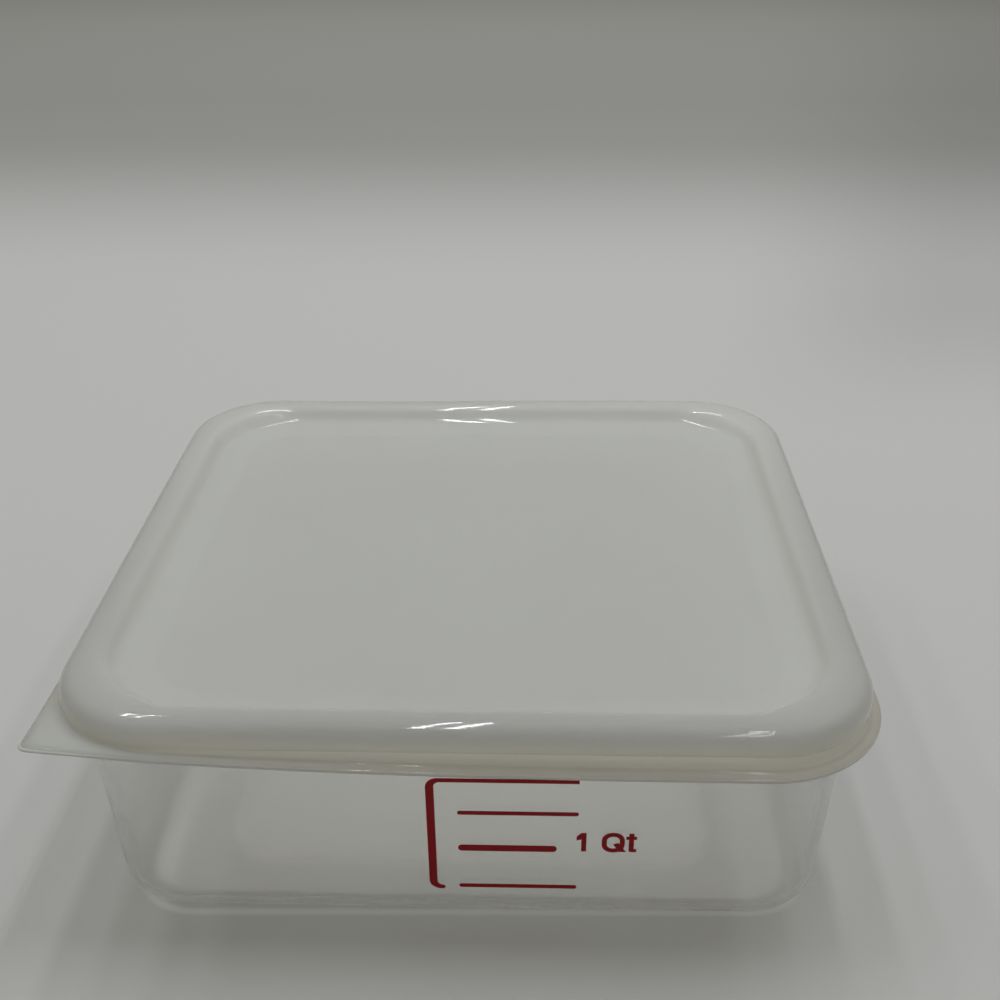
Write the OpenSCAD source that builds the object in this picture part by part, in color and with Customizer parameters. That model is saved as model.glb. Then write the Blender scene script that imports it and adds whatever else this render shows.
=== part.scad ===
// Low square food storage container: a clear drafted tub with printed fill marks,
// and a soft lid that presses on over the tub's rolled rim and lifts off by a corner tab.
// The origin is the centre of the foot's underside, +Z is up and the marks face -Y.

/* [Lid] */
// Height of the closed container, from the foot to the lid's crest
closed_h = 72.5; // [50:0.5:160]
// Width of the lid across its flange
lid_w = 223; // [150:1:320]
// Depth of the lid across its flange
lid_d = 211; // [150:1:320]
// Corner radius of the flange's outline
lid_corner_r = 33.5; // [28:0.5:60]
// Thickness of the lid's wall, the same all over
lid_t = 1.2; // [0.8:0.1:1.6]
// Reach of the flange beyond the bead
flange_reach = 2.9; // [1.5:0.1:6]
// Height of the lid's rim, from the crest to the underside of the flange
lid_rim_h = 12.2; // [10:0.1:20]
// Radius of the bead's outer roll
bead_r = 4.6; // [3.6:0.1:6]
// Straight part of the bead below its roll
bead_land = 0.7; // [0.3:0.1:2]
// Step from the bead in to the skirt
skirt_step = 0.4; // [0.2:0.1:0.8]
// Width of the crest, from the bead's outside to its inner corner
crest_w = 10; // [7.6:0.1:10.5]
// Run of the steep slope inside the crest
slope_run = 3; // [2:0.1:4]
// Drop of the steep slope inside the crest
slope_drop = 4.2; // [3:0.1:5]
// Run of the gentle ramp down to the centre panel
ramp_run = 10; // [6:0.5:11]
// Drop of the gentle ramp down to the centre panel
ramp_drop = 1.8; // [0.8:0.1:3]

/* [Pull tab] */
// Distance of the tab's bending line from the centre of the corner's arcs
tab_root = 34.8; // [34.5:0.1:37]
// Radius of the tab's tip
tab_tip_r = 3; // [1:0.5:5]
// Angle at which the tab rises from the flange
tab_rise = 12; // [0:1:20]

/* [Tub] */
// Thickness of the tub's walls
wall_t = 2.1; // [1.5:0.1:3]
// Thickness of the tub's floor
floor_t = 2.3; // [1.5:0.1:4]
// Angle by which the walls lean out
draft = 3.2; // [1:0.1:4]
// Outer radius where the walls meet the floor
foot_round = 8; // [6:0.5:11]
// Reach of the rolled rim beyond the wall
rim_reach = 3.1; // [2:0.1:4]
// Height of the rolled rim
rim_h = 3.8; // [3:0.1:4.5]
// Width of the raised panel in the floor
base_panel_w = 141; // [80:1:160]
// Depth of the raised panel in the floor
base_panel_d = 146; // [80:1:160]
// Corner radius of the raised panel in the floor
base_panel_r = 13; // [6:0.5:20]
// Height by which the floor's panel is raised above the foot
base_panel_rise = 0.8; // [0.3:0.1:1.5]

/* [Fits] */
// Gap between the rim and the lid's skirt, and between the rim and the crest
lid_clear = 0.3; // [0.2:0.05:0.5]
// Gap between the tab's root and the edge of the flange
tab_clear = 0.3; // [0.2:0.05:0.5]

/* [Printed marks] */
// Thickness of the printed ink
ink_t = 0.15; // [0.05:0.01:0.3]
// Left edge of the bracket, from the centre line
bracket_x = -9.3; // [-20:0.1:-5]
// Width of the bracket's upright
bracket_stroke = 2.2; // [1:0.1:4]
// Thickness of the bracket's top stroke and of its hook
bracket_arm = 1.3; // [0.6:0.1:2]
// Outer corner radius of the bracket
bracket_r = 3.2; // [2.4:0.1:5]
// Length of the bracket's lower hook
bracket_hook = 4.3; // [3.5:0.1:8]
// Length of the bracket's top stroke
bracket_top = 40; // [10:0.5:60]
// Height up the wall of the bracket's lower edge
bracket_low_z = 12.3; // [11:0.1:20]
// Height up the wall of the bracket's upper edge
bracket_high_z = 53.4; // [48:0.1:56]
// Left end of the three fill lines, from the centre line
line_x = -1.2; // [-5:0.1:5]
// Length of the upper and the lower fill line
thin_line_l = 32; // [10:0.5:60]
// Thickness of the upper and the lower fill line
thin_line_t = 1.3; // [0.6:0.1:2]
// Length of the middle fill line
thick_line_l = 26.4; // [10:0.5:28]
// Thickness of the middle fill line
thick_line_t = 2.2; // [1:0.1:3]
// Height up the wall of the upper fill line
upper_line_z = 41.2; // [38:0.1:44]
// Height up the wall of the middle fill line
middle_line_z = 28.2; // [24:0.1:32]
// Height up the wall of the lower fill line
lower_line_z = 13.6; // [12:0.1:18]
// Left edge of the capacity figure, from the centre line
figure_x = 30.4; // [29:0.1:40]
// Height of the capacity figure
figure_h = 6.8; // [5:0.1:9]
// Stroke of the capacity figure
figure_stroke = 1.35; // [0.8:0.05:1.6]

/* [Hidden] */

$fn = 96;
arc_steps = 7;

tub_color = [0.84, 0.85, 0.84, 0.45];
lid_color = [0.9, 0.91, 0.89];
ink_color = [0.5, 0.06, 0.07];

// The arcs of all four corners, on the lid and on the tub, share these centres,
// and every cross-section below measures its first coordinate outwards from them.
corner_x = lid_w / 2 - lid_corner_r;
corner_y = lid_d / 2 - lid_corner_r;

// Cross-section of the lid
flange_r = lid_corner_r;
flange_z = closed_h - lid_rim_h;
flange_top_z = flange_z + lid_t;
bead_out = flange_r - flange_reach;
skirt_out = bead_out - skirt_step;
step_z = closed_h - bead_r - bead_land;
crest_in = bead_out - crest_w;
slope_foot = crest_in - slope_run;
slope_foot_z = closed_h - slope_drop;
panel_out = slope_foot - ramp_run;
panel_z = slope_foot_z - ramp_drop;
flange_fillet = 0.6;
crest_round = 3.6;
slope_fillet = 3.6;
panel_fillet = 12;

// Cross-section of the tub
rim_top_z = closed_h - lid_t - lid_clear;
rim_low_z = rim_top_z - rim_h;
rim_out = skirt_out - lid_t - lid_clear;
wall_top_out = rim_out - rim_reach;
wall_foot_out = wall_top_out - rim_low_z * tan(draft);
wall_foot_in = wall_foot_out - wall_t;
wall_top_in = wall_foot_in + rim_top_z * tan(draft);
foot_round_in = foot_round - wall_t;
rim_top_round_share = 0.72;
rim_low_round_share = 0.24;
rim_neck_round = 0.9;
lip_round = 0.7;

// Bending line of the tab, measured along the corner's diagonal
tab_edge = tab_root - lid_t / 2 - tab_clear;
corner_diagonal = flange_r * sqrt(2);
tab_half_w = corner_diagonal - tab_root;
tab_tip = corner_diagonal - tab_root - tab_tip_r * sqrt(2);

// The capacity figure stands on a base line a little below the middle fill line
figure_z = middle_line_z - figure_h * 0.1;
one_w_share = 0.39;
q_gap_share = 0.6;
q_w_share = 0.9;
q_overshoot_share = 0.03;
q_round_share = 0.46;
t_gap_share = 0.05;
t_w_share = 0.42;
t_bar_share = 0.68;
t_arm_share = 0.8;

bracket_inner_share = 0.5;

function unit(v) = v / norm(v);
function turned(v, angle) = [v[0] * cos(angle) - v[1] * sin(angle), v[0] * sin(angle) + v[1] * cos(angle)];

// The arc of radius r that rounds the corner at b, on the way from a to c
function rounded_corner(a, b, c, r) =
    let (
        u = unit(a - b),
        v = unit(c - b),
        half = acos(u * v) / 2,
        centre = b + unit(u + v) * r / sin(half),
        first = b + u * r / tan(half) - centre,
        last = b + v * r / tan(half) - centre,
        turn = sign(cross(first, last)) * (180 - 2 * half)
    )
    [for (k = [0 : arc_steps]) centre + turned(first, turn * k / arc_steps)];

function flat_point(p) = [p[0], p[1]];

// A path whose points are [out, up] or [out, up, radius], with its corners rounded
function rounded_path(path) =
    [for (i = [0 : len(path) - 1])
        each (len(path[i]) < 3
            ? [path[i]]
            : rounded_corner(flat_point(path[i - 1]), flat_point(path[i]), flat_point(path[i + 1]), path[i][2]))];

function left_of(v) = [-v[1], v[0]];

// The way from the path to a second one that lies a unit to its left, at its point i
function step_left(path, i) =
    let (
        last = len(path) - 1,
        before = left_of(unit(path[max(i, 1)] - path[max(i, 1) - 1])),
        after = left_of(unit(path[min(i, last - 1) + 1] - path[min(i, last - 1)]))
    )
    (before + after) / (1 + before * after);

// A wall of even thickness whose right-hand face follows the path
module wall_section(path, thickness) {
    last = len(path) - 1;
    far_side = [for (i = [last : -1 : 0]) path[i] + step_left(path, i) * thickness];
    polygon(concat(path, far_side));
}

// Carries a cross-section round the four corners and along the four sides
module swept_round() {
    starts = [[corner_x, corner_y], [-corner_x, corner_y], [-corner_x, -corner_y], [corner_x, -corner_y]];
    for (k = [0 : 3]) {
        translate(starts[k]) rotate(90 * k) {
            rotate_extrude(angle = 90) children();
            rotate([90, 0, 0]) linear_extrude(k % 2 == 0 ? 2 * corner_y : 2 * corner_x) children();
        }
    }
}

// The flat middle between the corner centres
module middle_plate(low_z, thickness) {
    translate([-corner_x, -corner_y, low_z]) cube([2 * corner_x, 2 * corner_y, thickness]);
}

// A rectangle with rounded corners, from its low corner
module rounded_rect(low, size, r) {
    translate([low[0] + r, low[1]]) square([size[0] - 2 * r, size[1]]);
    translate([low[0], low[1] + r]) square([size[0], size[1] - 2 * r]);
    for (x = [low[0] + r, low[0] + size[0] - r], y = [low[1] + r, low[1] + size[1] - r]) {
        translate([x, y]) circle(r);
    }
}

// Tub: one clear moulding with leaning walls, a rounded foot and a rolled rim
module tub_section() {
    polygon(rounded_path([
        [0, 0],
        [wall_foot_out, 0, foot_round],
        [wall_top_out, rim_low_z, rim_neck_round],
        [rim_out, rim_low_z, rim_h * rim_low_round_share],
        [rim_out, rim_top_z, rim_h * rim_top_round_share],
        [wall_top_in, rim_top_z, lip_round],
        [wall_foot_in + floor_t * tan(draft), floor_t, foot_round_in],
        [0, floor_t]
    ]));
}

module base_panel(low_z, thickness) {
    translate([0, 0, low_z]) linear_extrude(thickness)
        rounded_rect([-base_panel_w / 2, -base_panel_d / 2], [base_panel_w, base_panel_d], base_panel_r);
}

module container() {
    color(tub_color) difference() {
        union() {
            swept_round() tub_section();
            middle_plate(0, floor_t);
            base_panel(floor_t / 2, floor_t / 2 + base_panel_rise);
        }
        base_panel(-base_panel_rise, 2 * base_panel_rise);
    }
}

// Lid: one soft moulding with a recessed panel, a raised bead, a skirt and a thin flange
module lid_section() {
    wall_section(rounded_path([
        [flange_r, flange_top_z],
        [skirt_out, flange_top_z, flange_fillet],
        [skirt_out, step_z - skirt_step],
        [bead_out, step_z],
        [bead_out, closed_h, bead_r],
        [crest_in, closed_h, crest_round],
        [slope_foot, slope_foot_z, slope_fillet],
        [panel_out, panel_z, panel_fillet],
        [0, panel_z]
    ]), lid_t);
}

// The corner of the flange that is left square, up to the tab's bending line
module square_corner() {
    side = tab_edge * sqrt(2) - flange_r;
    inner_r = (bead_out + flange_r) / 2;
    translate([-corner_x, -corner_y, flange_z]) rotate(180) linear_extrude(lid_t) difference() {
        polygon([[0, 0], [flange_r, 0], [flange_r, side], [side, flange_r], [0, flange_r]]);
        circle(inner_r);
    }
}

module lid() {
    color(lid_color) {
        swept_round() lid_section();
        middle_plate(panel_z - lid_t, lid_t);
        square_corner();
    }
}

// Pull tab: the flange's square corner beyond its bending line, with a round root
module pull_tab() {
    color(lid_color) translate([-corner_x, -corner_y, flange_z + lid_t / 2]) rotate(225)
        translate([tab_root, 0, 0]) rotate([0, -tab_rise, 0]) {
            rotate([90, 0, 0]) cylinder(h = 2 * tab_half_w - lid_t, d = lid_t, center = true);
            translate([0, 0, -lid_t / 2]) linear_extrude(lid_t) {
                reach = tab_tip_r / sqrt(2);
                polygon([[0, -tab_half_w], [tab_tip + reach, -reach], [tab_tip + reach, reach], [0, tab_half_w]]);
                translate([tab_tip, 0]) circle(tab_tip_r);
            }
        }
}

// Printed marks: thin ink on the outside of the front wall, drawn as seen from the front
module on_front_wall() {
    color(ink_color) translate([0, -corner_y - wall_foot_out, 0]) rotate([90 + draft, 0, 0])
        linear_extrude(ink_t) children();
}

// A bar with round ends
module bar(left, length, height, thickness) {
    r = thickness / 2;
    translate([left + r, height - r]) square([length - thickness, thickness]);
    for (x = [left + r, left + length - r]) {
        translate([x, height]) circle(r);
    }
}

module bracket_mark() {
    height = bracket_high_z - bracket_low_z;
    inner_x = bracket_x + bracket_stroke;
    inner_r = bracket_r * bracket_inner_share;
    arm_x = inner_x + inner_r;
    on_front_wall() {
        difference() {
            union() {
                rounded_rect([bracket_x, bracket_low_z], [3 * bracket_r, height], bracket_r);
                translate([arm_x, bracket_high_z - bracket_arm])
                    square([bracket_top + bracket_x - arm_x, bracket_arm]);
            }
            rounded_rect([inner_x, bracket_low_z + bracket_arm], [3 * bracket_r, height - 2 * bracket_arm], inner_r);
            translate([arm_x, bracket_low_z]) square([3 * bracket_r, height - bracket_arm]);
        }
        bar(arm_x - bracket_arm, bracket_hook + bracket_x - arm_x + bracket_arm,
            bracket_low_z + bracket_arm / 2, bracket_arm);
    }
}

module upper_line() {
    on_front_wall() bar(line_x, thin_line_l, upper_line_z, thin_line_t);
}

module middle_line() {
    on_front_wall() bar(line_x, thick_line_l, middle_line_z, thick_line_t);
}

module lower_line() {
    on_front_wall() bar(line_x, thin_line_l, lower_line_z, thin_line_t);
}

// Figure one: an upright with a flag at its top
module figure_one() {
    w = figure_h * one_w_share;
    polygon([
        [w, 0],
        [w, figure_h],
        [w - figure_stroke, figure_h],
        [0, figure_h - figure_stroke],
        [0, figure_h - 2 * figure_stroke],
        [w - figure_stroke, figure_h - 1.7 * figure_stroke],
        [w - figure_stroke, 0]
    ]);
}

// Letter Q: an upright oval ring with a tail
module oval(inset) {
    w = figure_h * q_w_share;
    rise = figure_h * q_overshoot_share;
    r = (w - 2 * inset) * q_round_share;
    polygon(rounded_path([
        [w / 2, inset - rise],
        [w - inset, inset - rise, r],
        [w - inset, figure_h + rise - inset, r],
        [inset, figure_h + rise - inset, r],
        [inset, inset - rise, r],
        [w / 2, inset - rise]
    ]));
}

module letter_q() {
    w = figure_h * q_w_share;
    difference() {
        oval(0);
        oval(figure_stroke);
    }
    polygon([
        [w - figure_stroke, 0],
        [w + figure_stroke / 3, 0],
        [w / 2 + figure_stroke, 2.4 * figure_stroke],
        [w / 2, 2 * figure_stroke]
    ]);
}

// Letter t: an upright with a crossbar and a short foot
module letter_t() {
    w = figure_h * t_w_share;
    left = (w - figure_stroke) / 2;
    right = left + figure_stroke;
    bar_z = figure_h * t_bar_share;
    arm = figure_stroke * t_arm_share;
    polygon(rounded_path([
        [w, 0],
        [w, arm],
        [right, arm],
        [right, bar_z],
        [w, bar_z],
        [w, bar_z + arm],
        [right, bar_z + arm],
        [right, figure_h],
        [left, figure_h],
        [left, bar_z + arm],
        [0, bar_z + arm],
        [0, bar_z],
        [left, bar_z],
        [left, 0, figure_stroke / 2],
        [w, 0]
    ]));
}

module capacity_figure() {
    q_x = figure_x + figure_h * (one_w_share + q_gap_share);
    t_x = q_x + figure_h * (q_w_share + t_gap_share);
    on_front_wall() {
        translate([figure_x, figure_z]) figure_one();
        translate([q_x, figure_z]) letter_q();
        translate([t_x, figure_z]) letter_t();
    }
}

container();
lid();
pull_tab();
bracket_mark();
upper_line();
middle_line();
lower_line();
capacity_figure();
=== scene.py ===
import math

import bpy
import numpy as np
from mathutils import Matrix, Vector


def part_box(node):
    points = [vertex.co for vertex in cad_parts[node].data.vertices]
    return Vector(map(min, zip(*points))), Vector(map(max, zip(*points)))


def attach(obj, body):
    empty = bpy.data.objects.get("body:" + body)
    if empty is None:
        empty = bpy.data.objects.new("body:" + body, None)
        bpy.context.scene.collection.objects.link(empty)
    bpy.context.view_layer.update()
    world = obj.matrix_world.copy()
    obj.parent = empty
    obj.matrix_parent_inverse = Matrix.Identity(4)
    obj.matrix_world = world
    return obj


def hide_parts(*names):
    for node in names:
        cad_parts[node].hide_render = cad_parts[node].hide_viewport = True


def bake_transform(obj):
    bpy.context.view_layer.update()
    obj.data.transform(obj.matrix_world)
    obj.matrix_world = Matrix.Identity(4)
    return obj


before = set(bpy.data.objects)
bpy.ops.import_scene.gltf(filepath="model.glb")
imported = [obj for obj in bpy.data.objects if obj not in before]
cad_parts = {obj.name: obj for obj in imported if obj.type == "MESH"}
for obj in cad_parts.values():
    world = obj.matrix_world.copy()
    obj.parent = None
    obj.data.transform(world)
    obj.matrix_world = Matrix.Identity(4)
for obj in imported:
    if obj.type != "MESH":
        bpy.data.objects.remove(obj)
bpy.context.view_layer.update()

# Tub
# One injection moulding in clear hard plastic. Its walls lean out for the mould's draft, its foot is
# rounded, its floor has a panel raised by under a millimetre, and the lid grips its rolled rim.

mm = 0.001
_, tub_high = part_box("container")
lid_low, lid_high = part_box("lid")

# On the tub's walls and rim and on the lid's outside, the arcs at the corners share these centres.
# Sections are drawn as [out, up] from them, and a third value rounds that corner of the section.
corner_r = 33.5 * mm
corner_x = lid_high.x - corner_r
corner_y = lid_high.y - corner_r

lean = math.radians(3.2)
tub_wall = 2.1 * mm
tub_floor = 2.3 * mm
rim_out = tub_high.x - corner_x
rim_top = tub_high.z
rim_height = 3.8 * mm
rim_reach = 3.1 * mm
rim_low = rim_top - rim_height
rim_edge_r = 0.9 * mm
rim_crown_r = 2.7 * mm
rim_inner_r = 0.7 * mm
wall_top = rim_out - rim_reach
wall_foot = wall_top - rim_low * math.tan(lean)
wall_inside_top = wall_foot + rim_top * math.tan(lean) - tub_wall
wall_inside_foot = wall_foot - tub_wall + tub_floor * math.tan(lean)
foot_round = 8 * mm
flat_floor = 8 * mm
floor_panel_x = 70.5 * mm
floor_panel_y = 73 * mm
floor_panel_r = 13 * mm
floor_panel_rise = 0.8 * mm

# Stations lie closer together at the tip of the lid's square corner, in degrees, and at the ends of
# the straight sides, as shares of their length.
corner_steps = 24
tip_angles = [42.3, 42.9, 43.6, 44.3, 45.7, 46.4, 47.1, 47.7]
side_shares = [0.004, 0.02, 0.06, 0.13, 0.22, 0.32, 0.42, 0.5, 0.58, 0.68, 0.78, 0.87, 0.94, 0.98, 0.996]


def stations():
    """Goes once round: the corner centre as shares of its place, and the way out, at every station."""
    angles = np.radians(sorted({90 * k / corner_steps for k in range(corner_steps + 1)} | set(tip_angles)))
    corners = [(1, 1), (-1, 1), (-1, -1), (1, -1)]
    centres, ways_out = [], []
    for k, (side_x, side_y) in enumerate(corners):
        turned = angles + k * math.pi / 2
        centres += [(side_x, side_y)] * len(turned)
        ways_out += list(zip(np.cos(turned), np.sin(turned)))
        next_x, next_y = corners[(k + 1) % 4]
        for share in side_shares:
            centres.append((side_x + (next_x - side_x) * share, side_y + (next_y - side_y) * share))
            ways_out.append(ways_out[-1])
    return np.array(centres), np.array(ways_out)


centre_shares, way_out = stations()


def ring(out, up, x=corner_x, y=corner_y):
    """One loop round a rectangle whose corner arcs have their centres at x and y."""
    flat = centre_shares * [x, y] + way_out * out
    return np.column_stack([flat, np.full(len(flat), up)])


def unit(v):
    return v / np.linalg.norm(v)


def rounded_path(points, arc_steps=8, support=0.25 * mm):
    """A section's path with its corners rounded, and a point just before and after each arc."""
    path = []
    for i, point in enumerate(points):
        corner = np.array(point[:2], float)
        if len(point) < 3:
            path.append(corner)
            continue
        back = unit(np.array(points[i - 1][:2]) - corner)
        on = unit(np.array(points[i + 1][:2]) - corner)
        half = math.acos(back @ on) / 2
        centre = corner + unit(back + on) * point[2] / math.sin(half)
        start = corner + back * point[2] / math.tan(half) - centre
        end = corner + on * point[2] / math.tan(half) - centre
        turn = math.copysign(math.pi - 2 * half, start[0] * end[1] - start[1] * end[0])
        path.append(centre + start + back * support)
        for k in range(arc_steps + 1):
            c, s = math.cos(turn * k / arc_steps), math.sin(turn * k / arc_steps)
            path.append(centre + [start[0] * c - start[1] * s, start[0] * s + start[1] * c])
        path.append(centre + end + on * support)
    return path


def moulding(name, rings):
    """A closed mesh through the rings, whose first and last are shut by a point at their middle."""
    count = len(rings[0])
    verts = [rings[0].mean(axis=0)] + [p for one in rings for p in one] + [rings[-1].mean(axis=0)]
    faces = [(0, 1 + (j + 1) % count, 1 + j) for j in range(count)]
    for i in range(len(rings) - 1):
        a, b = 1 + i * count, 1 + (i + 1) * count
        faces += [(a + j, a + (j + 1) % count, b + (j + 1) % count, b + j) for j in range(count)]
    last = len(verts) - 1
    faces += [(last, last - count + j, last - count + (j + 1) % count) for j in range(count)]
    mesh = bpy.data.meshes.new(name)
    mesh.from_pydata([tuple(v) for v in verts], [], faces)
    mesh.validate()
    mesh.shade_smooth()
    piece = bpy.data.objects.new(name, mesh)
    bpy.context.scene.collection.objects.link(piece)
    return piece


# The floor's panel has loops at these shares of its size, and the last two also bound its rims.
panel_rim_shares = [0.88, 0.94]
panel_spread = [0.1, 0.25, 0.4, 0.55, 0.7, 0.82] + panel_rim_shares

# The soft step at the panel's edge, as way out and share of the rise.
panel_step = [(-0.7 * mm, 1), (-0.35 * mm, 0.95), (-0.1 * mm, 0.7),
              (0.1 * mm, 0.3), (0.35 * mm, 0.05), (0.7 * mm, 0)]
step_lead = 0.2 * mm


def floor_panel_rings(floor_up, lead):
    """From the middle of one face of the tub's floor out over the edge of its raised panel."""
    x, y = floor_panel_x - floor_panel_r, floor_panel_y - floor_panel_r
    rise = floor_panel_rise
    spread = [ring(floor_panel_r * share, floor_up + rise, x * share, y * share) for share in panel_spread]
    step = [ring(floor_panel_r + out - lead, floor_up + share * rise, x, y) for out, share in panel_step]
    return spread + step


tub_path = rounded_path([
    [flat_floor, 0],
    [wall_foot, 0, foot_round],
    [wall_top, rim_low, rim_edge_r],
    [rim_out, rim_low, rim_edge_r],
    [rim_out, rim_top, rim_crown_r],
    [wall_inside_top, rim_top, rim_inner_r],
    [wall_inside_foot, tub_floor, foot_round - tub_wall],
    [flat_floor, tub_floor]
])
tub_rings = floor_panel_rings(0, 0)
tub_rings += [ring(out, up) for out, up in tub_path]
tub_rings += floor_panel_rings(tub_floor, step_lead)[::-1]
tub = moulding("tub_shell", tub_rings)


def new_material(name):
    material = bpy.data.materials.new(name)
    material.use_nodes = True
    material.node_tree.nodes.clear()
    return material.node_tree, material


def add(tree, kind, sockets=None, **settings):
    """Adds a node. sockets maps input names or numbers to plain values or to the outputs that feed them."""
    made = tree.nodes.new(kind)
    for key, value in settings.items():
        setattr(made, key, value)
    for key, value in (sockets or {}).items():
        if isinstance(value, bpy.types.NodeSocket):
            tree.links.new(value, made.inputs[key])
        else:
            made.inputs[key].default_value = value
    return made


def moulded_surface_group():
    """What moulded plastic carries after use: cloudy depth, fine grain and hairline scuffs."""
    group = bpy.data.node_groups.new("moulded surface", "ShaderNodeTree")
    for name, value in (("Grain", 0.3), ("Scuffs", 0.3), ("Seed", 0.0)):
        socket = group.interface.new_socket(name, in_out="INPUT", socket_type="NodeSocketFloat")
        socket.default_value = value
    for name in ("Clouds", "Scuff mask", "Height"):
        group.interface.new_socket(name, in_out="OUTPUT", socket_type="NodeSocketFloat")
    given = add(group, "NodeGroupInput")
    place = add(group, "ShaderNodeTexCoord").outputs["Object"]
    moved = add(group, "ShaderNodeVectorMath", {0: place, 1: given.outputs["Seed"]},
                operation="ADD").outputs[0]
    clouds = add(group, "ShaderNodeTexNoise",
                 {"Vector": moved, "Scale": 22.0, "Detail": 3.0, "Roughness": 0.55})
    grain = add(group, "ShaderNodeTexNoise", {"Vector": moved, "Scale": 900.0, "Detail": 2.0})
    ripple = add(group, "ShaderNodeTexNoise", {"Vector": moved, "Scale": 60.0, "Detail": 2.0})

    # Hairline scuffs run where a noise passes its middle value, and another noise breaks them up.
    hair = add(group, "ShaderNodeTexNoise",
               {"Vector": moved, "Scale": 34.0, "Detail": 1.5, "Distortion": 1.4})
    near = add(group, "ShaderNodeMath", {0: hair.outputs["Fac"], 1: 0.5}, operation="SUBTRACT").outputs[0]
    near = add(group, "ShaderNodeMath", {0: near}, operation="ABSOLUTE").outputs[0]
    line = add(group, "ShaderNodeMapRange",
               {"Value": near, "From Min": 0.0015, "From Max": 0.0045,
                "To Min": 1.0, "To Max": 0.0}).outputs[0]
    broken = add(group, "ShaderNodeTexNoise", {"Vector": moved, "Scale": 75.0, "Detail": 1.0})
    there = add(group, "ShaderNodeMapRange",
                {"Value": broken.outputs["Fac"], "From Min": 0.52, "From Max": 0.62}).outputs[0]
    line = add(group, "ShaderNodeMath", {0: line, 1: there}, operation="MULTIPLY").outputs[0]
    scuff = add(group, "ShaderNodeMath", {0: line, 1: given.outputs["Scuffs"]},
                operation="MULTIPLY").outputs[0]

    fine = add(group, "ShaderNodeMath",
               {0: grain.outputs["Fac"], 1: given.outputs["Grain"], 2: ripple.outputs["Fac"]},
               operation="MULTIPLY_ADD").outputs[0]
    height = add(group, "ShaderNodeMath", {0: scuff, 1: -0.6, 2: fine}, operation="MULTIPLY_ADD").outputs[0]
    add(group, "NodeGroupOutput", {"Clouds": clouds.outputs["Fac"], "Scuff mask": scuff, "Height": height})
    return group


moulded_surface = moulded_surface_group()


def clear_plastic(name, haze_share, haze_white_and_painted_shade):
    """Clear hard plastic with some haze in it; a dark haze is painted shade. Lamps and soft light pass
    through it, a little dimmed.
    """
    tree, material = new_material(name)
    surface = add(tree, "ShaderNodeGroup", {"Grain": 0.15, "Scuffs": 0.5, "Seed": 3.1},
                  node_tree=moulded_surface)
    bump = add(tree, "ShaderNodeBump",
               {"Height": surface.outputs["Height"], "Strength": 0.06, "Distance": 0.6 * mm})
    rough = add(tree, "ShaderNodeMapRange",
                {"Value": surface.outputs["Scuff mask"], "To Min": 0.18, "To Max": 0.35}).outputs[0]
    tint = add(tree, "ShaderNodeMix",
               {"Factor": surface.outputs["Clouds"],
                "A": (0.995, 0.995, 0.99, 1), "B": (0.978, 0.98, 0.973, 1)},
               data_type="RGBA")
    clear = add(tree, "ShaderNodeBsdfPrincipled",
                {"Base Color": tint.outputs["Result"], "Roughness": rough, "IOR": 1.58,
                 "Transmission Weight": 1.0, "Normal": bump.outputs[0]})
    haze_colour = (haze_white_and_painted_shade, haze_white_and_painted_shade, 0.99 * haze_white_and_painted_shade, 1)
    haze_on = add(tree, "ShaderNodeBsdfTranslucent", {"Color": haze_colour})
    haze_back = add(tree, "ShaderNodeBsdfDiffuse", {"Color": haze_colour})
    haze = add(tree, "ShaderNodeMixShader", {"Fac": 0.5, 1: haze_on.outputs[0], 2: haze_back.outputs[0]})
    hazy = add(tree, "ShaderNodeMixShader", {"Fac": haze_share, 1: clear.outputs[0], 2: haze.outputs[0]})
    lets_light = add(tree, "ShaderNodeBsdfTransparent", {"Color": (0.98, 0.98, 0.975, 1)})
    ray = add(tree, "ShaderNodeLightPath").outputs
    lamps_pass = add(tree, "ShaderNodeMixShader",
                     {"Fac": ray["Is Shadow Ray"], 1: hazy.outputs[0], 2: lets_light.outputs[0]})
    both = add(tree, "ShaderNodeMixShader",
               {"Fac": ray["Is Diffuse Ray"], 1: lamps_pass.outputs[0], 2: lets_light.outputs[0]})
    add(tree, "ShaderNodeOutputMaterial", {"Surface": both.outputs[0]})
    return material


# The tub's zones, from its walls in to the middle of its floor: the share of haze, and how white it is.
tub_zones = [
    ("clear_tub_plastic", 0.06, 0.95),
    # The rounded foot's haze is painted dark, as painted shade for the shadow under the foot.
    ("rounded_foot_plastic", 0.75, 0.61),
    ("satin_floor_plastic", 0.42, 0.95),
    ("panel_edge_plastic", 0.80, 1.0),
    ("panel_rim_plastic", 0.84, 1.0),
    ("frosted_panel_plastic", 0.86, 1.0),
]
for zone_name, haze_share, haze_white_and_painted_shade in tub_zones:
    tub.data.materials.append(clear_plastic(zone_name, haze_share, haze_white_and_painted_shade))


def beyond(place, x, y, r, share=1):
    """How far a place lies outside a share of a rounded rectangle, less than 0 when it lies inside."""
    x, y, r = x * share, y * share, r * share
    return math.hypot(max(abs(place.x) - x + r, 0), max(abs(place.y) - y + r, 0)) - r


# A face low on the tub gets a zone further in with each outline that it lies inside of.
contact = wall_foot - foot_round
step_reach = 0.5 * mm
for face in tub.data.polygons:
    if face.center.z < tub_floor + 1.5 * floor_panel_rise:
        zone = 1
        zone += beyond(face.center, corner_x + contact, corner_y + contact, contact) < 0
        zone += beyond(face.center, floor_panel_x, floor_panel_y, floor_panel_r) < step_reach
        for share in panel_rim_shares:
            zone += beyond(face.center, floor_panel_x, floor_panel_y, floor_panel_r, share) < 0
        face.material_index = zone
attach(tub, "tub")
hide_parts("container")

# Fill marks
# A bracket, three lines and a plain capacity figure, screen-printed in dark red on the outside of the
# front wall. They keep their own thin solids, which lie on the leaning wall, and get the ink's finish.

dense_red = (0.18, 0.005, 0.007, 1)
thin_red = (0.33, 0.009, 0.012, 1)


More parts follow.
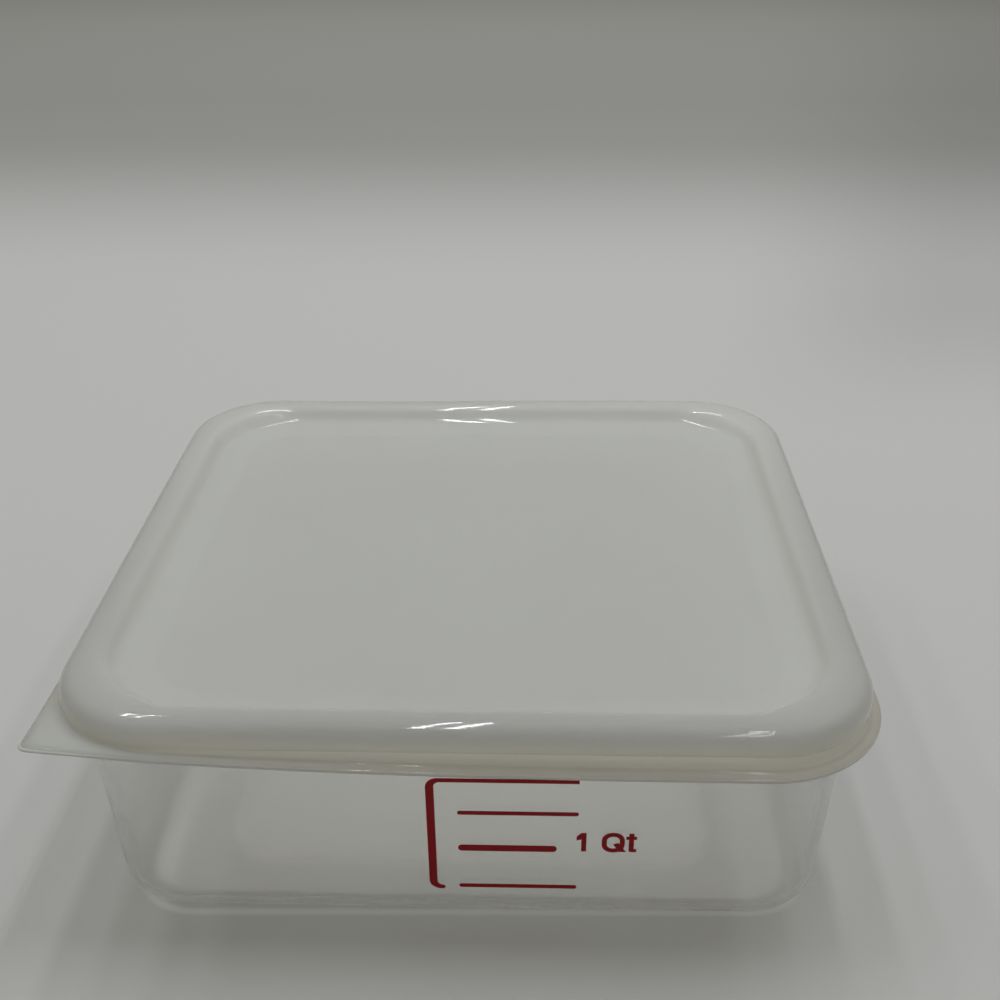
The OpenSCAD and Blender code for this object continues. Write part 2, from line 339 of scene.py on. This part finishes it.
def screen_ink():
    """Dark red ink, denser in some patches than in others, with small pinholes and a soft sheen."""
    tree, material = new_material("dark_red_ink")
    place = add(tree, "ShaderNodeTexCoord").outputs["Object"]
    patches = add(tree, "ShaderNodeTexNoise",
                  {"Vector": place, "Scale": 420.0, "Detail": 4.0, "Roughness": 0.65})
    colour = add(tree, "ShaderNodeMix",
                 {"Factor": patches.outputs["Fac"], "A": dense_red, "B": thin_red}, data_type="RGBA")
    bump = add(tree, "ShaderNodeBump",
               {"Height": patches.outputs["Fac"], "Strength": 0.3, "Distance": 0.05 * mm})
    ink = add(tree, "ShaderNodeBsdfPrincipled",
              {"Base Color": colour.outputs["Result"], "Roughness": 0.5, "Specular IOR Level": 0.14,
               "Normal": bump.outputs[0]})
    add(tree, "ShaderNodeOutputMaterial", {"Surface": ink.outputs[0]})
    return material


ink = screen_ink()
for node_name in ("bracket_mark", "upper_line", "middle_line", "lower_line", "capacity_figure"):
    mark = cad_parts[node_name]
    mark.data.materials.clear()
    mark.data.materials.append(ink)

# Lid
# One moulding in soft milky plastic that presses on over the tub's rim. A raised bead and a steep slope
# frame its recessed panel, a short skirt hangs outside the rim, and one corner of its thin flange is
# left square as a pull tab, which bends along the diagonal when it is peeled.

lid_wall = 1.2 * mm
lid_top = lid_high.z
flange_out = corner_r
flange_top = lid_low.z + lid_wall
flange_show = 2.9 * mm
flange_fillet = 1.6 * mm
bead_out = flange_out - flange_show
bead_roll = 4.8 * mm
bead_upright = 1.1 * mm
bead_foot = lid_top - bead_roll - bead_upright
skirt_step = 0.4 * mm
skirt_step_up = 0.7 * mm
skirt_step_r = 0.3 * mm
skirt_out = bead_out - skirt_step
crest_drop = 0.35 * mm
crest_r = 12 * mm
crest_middle = bead_out - 6.2 * mm
crest_in = bead_out - 10 * mm
slope_r = 4.2 * mm
slope_foot = crest_in - 3 * mm
slope_foot_up = lid_top - 4.2 * mm
panel_out = slope_foot - 10 * mm
panel_up = slope_foot_up - 1.8 * mm
panel_r = 12 * mm
panel_start = panel_out - 2 * mm

lid_path = rounded_path([
    [panel_start, panel_up],
    [panel_out, panel_up, panel_r],
    [slope_foot, slope_foot_up, slope_r],
    [crest_in, lid_top - crest_drop, slope_r],
    [crest_middle, lid_top, crest_r],
    [bead_out, lid_top - crest_drop, bead_roll],
    [bead_out, bead_foot, skirt_step_r],
    [skirt_out, bead_foot - skirt_step_up, skirt_step_r],
    [skirt_out, flange_top, flange_fillet],
    [flange_out, flange_top]
])


def offset_inwards(path, thickness):
    """The other face of a wall of even thickness, below a path that runs outwards."""
    path = np.array(path)
    legs = np.diff(path, axis=0)
    legs /= np.linalg.norm(legs, axis=1)[:, None]
    before = np.vstack([legs[:1], legs])
    after = np.vstack([legs, legs[-1:]])
    share = 1 + np.sum(before * after, axis=1)
    both = (before + after) / share[:, None] * thickness
    return path + np.column_stack([both[:, 1], -both[:, 0]])


lid_under = offset_inwards(lid_path, lid_wall)

# The flange's loops from the skirt out, and its rounded lip as way out and share of the thickness.
flange_rings = 9
lip_r = 0.35 * mm
lip_ease = 0.1 * mm
flange_start = lid_path[-2][0]
flange_flat = flange_out - lip_r - flange_start
flange_outs = [flange_start + flange_flat * k / flange_rings for k in range(1, flange_rings + 1)]
lip = [(flange_out - lip_ease, 0.12), (flange_out, 0.35), (flange_out, 0.65), (flange_out - lip_ease, 0.88)]

tip_r = 3 * mm
tip_reach = math.radians(2.75)
tab_trim = 0.8 * mm
tip_centre = (flange_out - tab_trim - tip_r) * math.sqrt(2)
tab_side = centre_shares.sum(axis=1) == -2


def square_outline():
    """How far out the square corner reaches at each station, against the round corner's own radius."""
    from_middle = np.arctan2(way_out[:, 1], way_out[:, 0]) % (2 * math.pi) - 1.25 * math.pi
    across = tip_centre * np.sin(from_middle)
    trimmed = flange_out - tab_trim * (1 - np.abs(from_middle) / (math.pi / 4))
    straight = trimmed / np.maximum(np.abs(way_out[:, 0]), np.abs(way_out[:, 1]))
    tipped = tip_centre * np.cos(from_middle) + np.sqrt(np.maximum(tip_r ** 2 - across ** 2, 0))
    on_tip = np.abs(from_middle) < tip_reach
    return np.where(tab_side, np.where(on_tip, tipped, straight), flange_out)


outline = square_outline()


def flange_ring(out, up):
    """A loop of the flange, stretched at the tab's corner from the round skirt to the square outline."""
    share = (out - flange_start) / (flange_out - flange_start)
    reach = flange_start + share * (outline - flange_start)
    flat = centre_shares * [corner_x, corner_y] + way_out * reach[:, None]
    return np.column_stack([flat, np.full(len(flat), up)])


panel_shares = [0.04, 0.12, 0.2, 0.3, 0.4, 0.5, 0.6, 0.7, 0.79, 0.86, 0.92, 0.97]
corner_ease = 9 * mm
ease_start = bead_out - 4.5 * mm


def slope_ring(out, up, share=1):
    """A loop of the lid. From the bead's crest to the foot of its slope, its corners grow rounder."""
    down = min(max((ease_start - out) / (ease_start - slope_foot), 0), 1)
    ease = corner_ease * down * down * (3 - 2 * down)
    return ring((out + ease) * share, up, (corner_x - ease) * share, (corner_y - ease) * share)


def panel_rings(up):
    return [slope_ring(panel_start, up, share) for share in panel_shares]


under_rings = panel_rings(panel_up - lid_wall)
under_rings += [slope_ring(out, up) for out, up in lid_under[:-2]]
under_rings += [flange_ring(out, lid_low.z) for out in [flange_start] + flange_outs]
top_rings = [flange_ring(out, lid_low.z + lid_wall * share) for out, share in lip]
top_rings += [flange_ring(out, flange_top) for out in flange_outs[::-1] + [flange_start]]
top_rings += [slope_ring(out, up) for out, up in lid_path[-3::-1]]
top_rings += panel_rings(panel_up)[::-1]

lid = moulding("milky_lid", under_rings + top_rings)

# How far the relaxed lid leaves the shape of its mould, and over what stretches.
panel_sag = 0.25 * mm
panel_wave = 0.10 * mm
wave_run_x = 31 * mm
wave_run_y = 27 * mm
wave_run_slant = 19 * mm
back_start = 50 * mm
back_run = 40 * mm
back_drop = 0.5 * mm
back_wave = 0.3 * mm
back_wave_run = 30 * mm
back_tilt = 0.004
back_tilt_end = 85 * mm
corner_lift = 5.6 * mm
lift_way_x = -0.45
lift_way_y = -0.89
lift_start = 60 * mm
lift_run = 80 * mm


def bend_lid(mesh):
    """The relaxed shape of a soft lid. Panel and back bead wave a little, and the tab's corner lifts."""
    co = np.zeros(len(mesh.vertices) * 3)
    mesh.vertices.foreach_get("co", co)
    co = co.reshape(-1, 3)

    # These are views of co, so what is added to z moves the points.
    x, y, z = co.T
    inside_x = np.clip(1 - np.abs(x) / (corner_x + panel_out), 0, 1)
    inside_y = np.clip(1 - np.abs(y) / (corner_y + panel_out), 0, 1)
    inside = np.clip(3 * np.minimum(inside_x, inside_y), 0, 1)
    waves = np.sin(x / wave_run_x + 0.8) * np.cos(y / wave_run_y - 0.4)
    waves += 0.6 * np.sin((x + y) / wave_run_slant)
    z += inside ** 2 * (3 - 2 * inside) * (panel_wave * waves - panel_sag)
    at_back = np.clip((y - back_start) / back_run, 0, 1)
    tilt = back_tilt * np.clip(x, -back_tilt_end, back_tilt_end)
    z += at_back * (back_wave * np.sin(x / back_wave_run) + tilt - back_drop)
    low = np.clip((bead_foot - z) / (bead_foot - flange_top), 0, 1)
    to_corner = np.clip((lift_way_x * x + lift_way_y * y - lift_start) / lift_run, 0, 1.1)
    z += low * corner_lift * to_corner ** 2.5
    mesh.vertices.foreach_set("co", co.ravel())
    mesh.update()


bend_lid(lid.data)

# How far in front of the middle and behind it the painted shade of the bead's top still changes.
painted_shade_reach = 85 * mm


def milky_plastic(name, through_share, low_depth, low_painted_shade, high_depth, front_painted_shade, back_painted_shade):
    """Soft milky plastic. Most light scatters on through it, some scatters back, and its skin is glossy.

    Its colour carries painted shade, which changes between two depths under the lid's top, and at the
    upper one also from the front to the back, with what lies behind it.
    """
    tree, material = new_material(name)
    surface = add(tree, "ShaderNodeGroup", {"Grain": 0.06, "Scuffs": 0.3, "Seed": 7.7},
                  node_tree=moulded_surface)
    bump = add(tree, "ShaderNodeBump",
               {"Height": surface.outputs["Height"], "Strength": 0.10, "Distance": 0.5 * mm})
    rough = add(tree, "ShaderNodeMapRange",
                {"Value": surface.outputs["Scuff mask"], "To Min": 0.035, "To Max": 0.35}).outputs[0]
    cloudy = add(tree, "ShaderNodeMix",
                 {"Factor": surface.outputs["Clouds"],
                  "A": (0.95, 0.955, 0.95, 1), "B": (0.98, 0.985, 0.98, 1)},
                 data_type="RGBA")
    place = add(tree, "ShaderNodeTexCoord").outputs["Object"]
    _, to_back, up = add(tree, "ShaderNodeSeparateXYZ", {0: place}).outputs
    to_back = add(tree, "ShaderNodeMapRange",
                  {"Value": to_back, "From Min": -painted_shade_reach, "From Max": painted_shade_reach}).outputs[0]
    # Painted shade: from the front to the back at the high depth, and from the low depth up to it.
    top_painted_shade = add(tree, "ShaderNodeMix", {"Factor": to_back, "A": front_painted_shade, "B": back_painted_shade},
                    data_type="RGBA")
    up = add(tree, "ShaderNodeMapRange",
             {"Value": up, "From Min": lid_top - low_depth, "From Max": lid_top - high_depth},
             interpolation_type="SMOOTHSTEP").outputs[0]
    painted_shade = add(tree, "ShaderNodeMix", {"Factor": up, "A": low_painted_shade, "B": top_painted_shade.outputs["Result"]},
                data_type="RGBA")
    milk = add(tree, "ShaderNodeMix",
               {"Factor": 1.0, "A": cloudy.outputs["Result"], "B": painted_shade.outputs["Result"]},
               data_type="RGBA", blend_type="MULTIPLY")
    scattered = add(tree, "ShaderNodeBsdfPrincipled",
                    {"Base Color": milk.outputs["Result"], "Roughness": 0.9, "Specular IOR Level": 0.0})
    through = add(tree, "ShaderNodeBsdfTranslucent", {"Color": milk.outputs["Result"]})
    body = add(tree, "ShaderNodeMixShader",
               {"Fac": through_share, 1: scattered.outputs[0], 2: through.outputs[0]})
    gloss = add(tree, "ShaderNodeBsdfPrincipled",
                {"Base Color": (1, 1, 1, 1), "Metallic": 1.0, "Roughness": rough, "Normal": bump.outputs[0]})
    mirrored = add(tree, "ShaderNodeFresnel", {"IOR": 1.5, "Normal": bump.outputs[0]})
    both = add(tree, "ShaderNodeMixShader",
               {"Fac": mirrored.outputs[0], 1: body.outputs[0], 2: gloss.outputs[0]})
    add(tree, "ShaderNodeOutputMaterial", {"Surface": both.outputs[0]})
    return material


def inner_face():
    """The underside's own gloss. It lets light pass, because the top face already scatters it."""
    tree, material = new_material("milky_lid_underside")
    gloss = add(tree, "ShaderNodeBsdfPrincipled", {"Base Color": (0.93, 0.935, 0.92, 1), "Roughness": 0.2})
    clear = add(tree, "ShaderNodeBsdfTransparent", {"Color": (0.98, 0.98, 0.975, 1)})
    edge_on = add(tree, "ShaderNodeFresnel", {"IOR": 1.45})
    both = add(tree, "ShaderNodeMixShader",
               {"Fac": edge_on.outputs[0], 1: clear.outputs[0], 2: gloss.outputs[0]})
    add(tree, "ShaderNodeOutputMaterial", {"Surface": both.outputs[0]})
    return material


# Painted light and shade in the milk's colour: the bead darker at the front, lighter at the back and on its
# outer side, the skirt lighter and warm, the flange darker and warm, the tab, lip edge and panel darker.
panel_painted_shade = (0.968, 0.975, 0.965, 1)
bead_front_painted_shade = (0.877, 0.88, 0.872, 1)
bead_back_painted_light = (1.0, 1.0, 1.0, 1)
bead_side_painted_light = (1.0, 0.985, 0.935, 1)
skirt_painted_light = (1.0, 0.965, 0.88, 1)
flange_painted_shade = (0.93, 0.90, 0.83, 1)
tab_painted_shade = (0.85, 0.86, 0.84, 1)
edge_painted_shade = (0.62, 0.615, 0.59, 1)

# What stands over the tub's rim, or alone in the light, is painted in another shade than the panel, as
# painted light and shade. Each finish has the share of light that goes on through it, the depth under the
# lid's top and the painted shade at its low end, and the depth and the front and back painted shades at its
# high end.
of_panel, of_underside, of_bead, of_edge, of_skirt, of_flange = range(6)
finishes_with_painted_shade = {
    of_panel: ("milky_panel_plastic", 0.84, 3.9 * mm, panel_painted_shade, 0.3 * mm, bead_front_painted_shade, bead_back_painted_light),
    of_bead: ("milky_bead_plastic", 0.84, 4.1 * mm, bead_side_painted_light, 0.7 * mm, bead_front_painted_shade, bead_back_painted_light),
    of_edge: ("milky_edge_plastic", 0.30, 12.5 * mm, edge_painted_shade, 2.5 * mm, edge_painted_shade, edge_painted_shade),
    of_skirt: ("milky_skirt_plastic", 0.72, 12.5 * mm, skirt_painted_light, 2.5 * mm, skirt_painted_light, skirt_painted_light),
    of_flange: ("milky_flange_plastic", 0.84, 10.5 * mm, flange_painted_shade, 6.5 * mm, tab_painted_shade, tab_painted_shade),
}
for part in range(6):
    lid.data.materials.append(milky_plastic(*finishes_with_painted_shade[part]) if part in finishes_with_painted_shade else inner_face())

# The last ring of the lip, of the fillet on the flange, and of the skirt, counted from the middle of
# the underside.
fillet_show = 1.2 * mm
lip_end = len(under_rings) + len(lip) - 1
fillet_end = lip_end + flange_rings + sum(up < flange_top + fillet_show for _, up in lid_path[:-2])
skirt_end = lip_end + 1 + flange_rings + sum(up < bead_foot for _, up in lid_path[:-2])
for face in lid.data.polygons:
    ring_below = (max(face.vertices) - 1) // len(way_out)
    if ring_below < len(under_rings):
        face.material_index = of_underside
    elif ring_below <= lip_end:
        face.material_index = of_edge
    elif ring_below <= fillet_end:
        face.material_index = of_flange
    elif ring_below <= skirt_end:
        face.material_index = of_skirt
    elif beyond(face.center, corner_x + crest_middle, corner_y + crest_middle, crest_middle) > 0:
        face.material_index = of_bead
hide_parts("lid", "pull_tab")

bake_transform(lid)

# Table
# A plain pale tabletop, which is only there to carry the object and its shadow. Its colour is painted
# darker where it runs back, as painted shade like that on the sheet behind such a table.

table_size = 12
table_gap = 0.2 * mm

# The paper is painted darker behind the container, as painted shade, and further back a little lighter
# again, as painted light.
near_paper = (0.463, 0.467, 0.458, 1)
far_paper_painted_shade = (0.279, 0.283, 0.272, 1)
darkens_from, darkens_to = 0.44, 0.88
lightens_from, lightens_to = 1.05, 1.65
painted_lightening = 1.26

# A painted shade lies over its far right corner. Its side starts from a point in front of the container
# and softens between two slopes, as way across for way back.
painted_corner_dimming = 0.17
side_start = 0.35
slope_from, slope_to = 0.16, 0.37
shade_from, shade_to = 0.2, 0.42

# A painted line of light lies on the table where the clear foot gathers light, a little inside the outline
# of the foot and in front only.
painted_gathered_light = 0.22
gathered_at = wall_foot - 2.5 * mm
gathered_core = 0.2 * mm
gathered_fade = 1.9 * mm
gathered_turn = math.radians(-1.1)
gathered_from, gathered_full = -80 * mm, -92 * mm

bpy.ops.mesh.primitive_plane_add(size=table_size, location=(0, 0, -table_gap))
table = bpy.context.object
table.name = "table"


def table_finish():
    """Pale matt paper with painted shade towards the back and a painted line of light along the tub's foot.
    """
    tree, material = new_material("pale_table")
    place = add(tree, "ShaderNodeTexCoord").outputs["Object"]
    across, back, _ = add(tree, "ShaderNodeSeparateXYZ", {0: place}).outputs
    far = add(tree, "ShaderNodeMapRange", {"Value": back, "From Min": darkens_from, "From Max": darkens_to},
              interpolation_type="SMOOTHSTEP").outputs[0]
    colour = add(tree, "ShaderNodeMix", {"Factor": far, "A": near_paper, "B": far_paper_painted_shade}, data_type="RGBA")
    farthest = add(tree, "ShaderNodeMapRange",
                   {"Value": back, "From Min": lightens_from, "From Max": lightens_to,
                    "To Min": 1.0, "To Max": painted_lightening}).outputs[0]

    # The painted shade over its far right corner.
    reach = add(tree, "ShaderNodeMath", {0: back, 1: side_start}, operation="ADD").outputs[0]
    aside = add(tree, "ShaderNodeMath", {0: across, 1: reach}, operation="DIVIDE").outputs[0]
    aside = add(tree, "ShaderNodeMapRange", {"Value": aside, "From Min": slope_from, "From Max": slope_to},
                interpolation_type="SMOOTHSTEP").outputs[0]
    deep = add(tree, "ShaderNodeMapRange", {"Value": back, "From Min": shade_from, "From Max": shade_to},
               interpolation_type="SMOOTHSTEP").outputs[0]
    corner = add(tree, "ShaderNodeMath", {0: aside, 1: deep}, operation="MULTIPLY").outputs[0]
    dimmed = add(tree, "ShaderNodeMath", {0: corner, 1: -painted_corner_dimming, 2: farthest},
                 operation="MULTIPLY_ADD").outputs[0]

    # The painted line of light along the foot.
    turned = add(tree, "ShaderNodeVectorRotate", {"Vector": place, "Angle": gathered_turn},
                 rotation_type="Z_AXIS").outputs[0]
    size = add(tree, "ShaderNodeVectorMath", {0: turned}, operation="ABSOLUTE").outputs[0]
    past = add(tree, "ShaderNodeVectorMath", {0: size, 1: (corner_x, corner_y, 1)},
               operation="SUBTRACT").outputs[0]
    past = add(tree, "ShaderNodeVectorMath", {0: past, 1: (0, 0, 0)}, operation="MAXIMUM").outputs[0]
    out = add(tree, "ShaderNodeVectorMath", {0: past}, operation="LENGTH").outputs["Value"]
    off = add(tree, "ShaderNodeMath", {0: out, 1: gathered_at}, operation="SUBTRACT").outputs[0]
    off = add(tree, "ShaderNodeMath", {0: off}, operation="ABSOLUTE").outputs[0]
    line = add(tree, "ShaderNodeMapRange",
               {"Value": off, "From Min": gathered_core, "From Max": gathered_fade,
                "To Min": 1.0, "To Max": 0.0},
               interpolation_type="SMOOTHSTEP").outputs[0]
    in_front = add(tree, "ShaderNodeMapRange",
                   {"Value": back, "From Min": gathered_from, "From Max": gathered_full},
                   interpolation_type="SMOOTHSTEP").outputs[0]
    line = add(tree, "ShaderNodeMath", {0: line, 1: in_front}, operation="MULTIPLY").outputs[0]
    lit = add(tree, "ShaderNodeMath", {0: line, 1: painted_gathered_light, 2: dimmed}, operation="MULTIPLY_ADD")
    shown = add(tree, "ShaderNodeVectorMath", {0: colour.outputs["Result"], "Scale": lit.outputs[0]},
                operation="SCALE").outputs[0]

    paper = add(tree, "ShaderNodeTexNoise", {"Vector": place, "Scale": 300.0, "Detail": 3.0})
    bump = add(tree, "ShaderNodeBump",
               {"Height": paper.outputs["Fac"], "Strength": 0.05, "Distance": 0.2 * mm})
    top = add(tree, "ShaderNodeBsdfPrincipled",
              {"Base Color": shown, "Roughness": 0.7, "Specular IOR Level": 0.2, "Normal": bump.outputs[0]})
    add(tree, "ShaderNodeOutputMaterial", {"Surface": top.outputs[0]})
    return material


table.data.materials.append(table_finish())

# Light
# Rows of long tube lamps hang overhead, as in an office ceiling, and softer light comes from all round.
# The rows turn a little from the container's own front to back.

lamp_up = 1.6
tube_wide = 0.018
tube_turn = math.radians(1.6)
tube_white = (0.94, 0.96, 1.0)
room_light = (1.0, 0.957, 0.85, 1)
room_strength = 0.335
room_wall = (0.27, 0.275, 0.262, 1)

# Pairs of tubes: x and y of the pair's middle, how far apart, how long, watts each, and whether the
# gloss shows them. Only three of them shine in the lid. The others stand for the room's softer light.
tube_pairs = [
    (-1.15, 0.45, 0.06, 1.30, 1.5, False),
    (-0.79, 0.45, 0.06, 1.30, 1.55, False),
    (-0.43, 0.45, 0.06, 1.30, 1.3, False),
    (-0.103, 0.55, 0.058, 1.45, 1.95, True),
    (0.29, 0.45, 0.06, 1.30, 2.4, False),
    (0.65, 0.45, 0.06, 1.30, 1.95, False),
    (1.01, 0.45, 0.06, 1.30, 2.1, False),
    (0.36, -0.34, 0.035, 1.15, 0.42, True),
    (-0.80, 1.50, 0.06, 0.40, 0.4, True),
]
for x, y, apart, long, power, shines in tube_pairs:
    for side in (-0.5, 0.5):
        light = bpy.data.lights.new("tube_lamp", "AREA")
        light.shape = "RECTANGLE"
        light.size = tube_wide
        light.size_y = long
        light.energy = power
        light.color = tube_white
        lamp = bpy.data.objects.new("tube_lamp", light)
        lamp.location = (x + side * apart, y, lamp_up)
        lamp.rotation_euler = (0, 0, -tube_turn)
        lamp.visible_glossy = shines
        bpy.context.scene.collection.objects.link(lamp)

world = bpy.data.worlds.new("studio")
world.use_nodes = True
world.node_tree.nodes.clear()
soft = add(world.node_tree, "ShaderNodeBackground", {"Color": room_light, "Strength": room_strength})
behind = add(world.node_tree, "ShaderNodeBackground", {"Color": room_wall, "Strength": 1.0})
seen = add(world.node_tree, "ShaderNodeLightPath").outputs["Is Camera Ray"]
sky = add(world.node_tree, "ShaderNodeMixShader", {"Fac": seen, 1: soft.outputs[0], 2: behind.outputs[0]})
add(world.node_tree, "ShaderNodeOutputWorld", {"Surface": sky.outputs[0]})
bpy.context.scene.world = world

# Camera
# The place from which the photo was taken, worked out from the outlines of the lid and of the tub. It
# looks down on the container from a little to the right of its middle.

camera_at = (18.07 * mm, -346.59 * mm, 271.43 * mm)
camera_down = math.radians(28.62)
camera_left = math.radians(1.708)
camera_roll = math.radians(-0.339)
picture = 1000
focal_px = 1258.8

data = bpy.data.cameras.new("camera")
data.sensor_width = 36
data.lens = focal_px / picture * data.sensor_width
data.clip_start = 0.01
camera = bpy.data.objects.new("camera", data)
turn = Matrix.Rotation(camera_left, 4, "Z") @ Matrix.Rotation(math.pi / 2 - camera_down, 4, "X")
camera.matrix_world = Matrix.Translation(camera_at) @ turn @ Matrix.Rotation(camera_roll, 4, "Z")
bpy.context.scene.collection.objects.link(camera)
bpy.context.scene.camera = camera
bpy.context.scene.view_settings.view_transform = "Standard"
